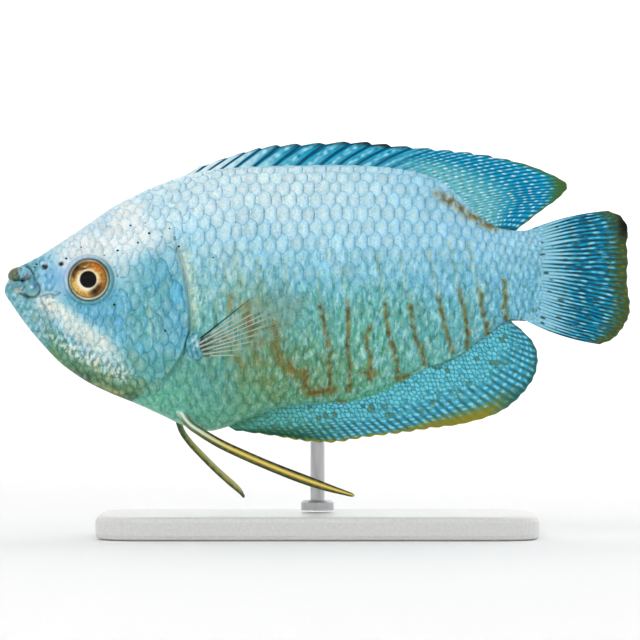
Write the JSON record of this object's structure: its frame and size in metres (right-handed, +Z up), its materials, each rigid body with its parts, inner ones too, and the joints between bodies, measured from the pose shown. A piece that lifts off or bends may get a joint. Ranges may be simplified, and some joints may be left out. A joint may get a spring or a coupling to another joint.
{
  "type": "dwarf gourami model",
  "caption": "Life-size still model of a male dwarf gourami, a small deep-bodied labyrinth fish, held over a flat base by one short rod.",
  "frame": {"origin": "on the floor, under the middle of the whole model's box", "axes": "+Z up, -X the way the head points, so that the fish's left flank faces -Y"},
  "size_m": [0.08, 0.03, 0.0505],
  "materials": {
    "skin": "scaled skin under a satin clear coat",
    "fin": "thin rayed fin under a satin clear coat",
    "feeler": "satin",
    "eye": "wet gloss",
    "base": "satin",
    "rod": "satin"
  },
  "bodies": {
    "root": {"head": "skin", "lower_jaw": "skin", "gill_cover_left": "skin", "gill_cover_right": "skin", "eye_left": "eye", "eye_right": "eye", "trunk": "skin", "tail_stalk": "skin", "dorsal_fin": "fin", "anal_fin": "fin", "tail_fin": "fin", "pectoral_fin_left": "fin", "pectoral_fin_right": "fin", "pelvic_feeler_left": "feeler", "pelvic_feeler_right": "feeler", "stand_base": "base", "stand_rod": "rod"}
  },
  "joints": []
}
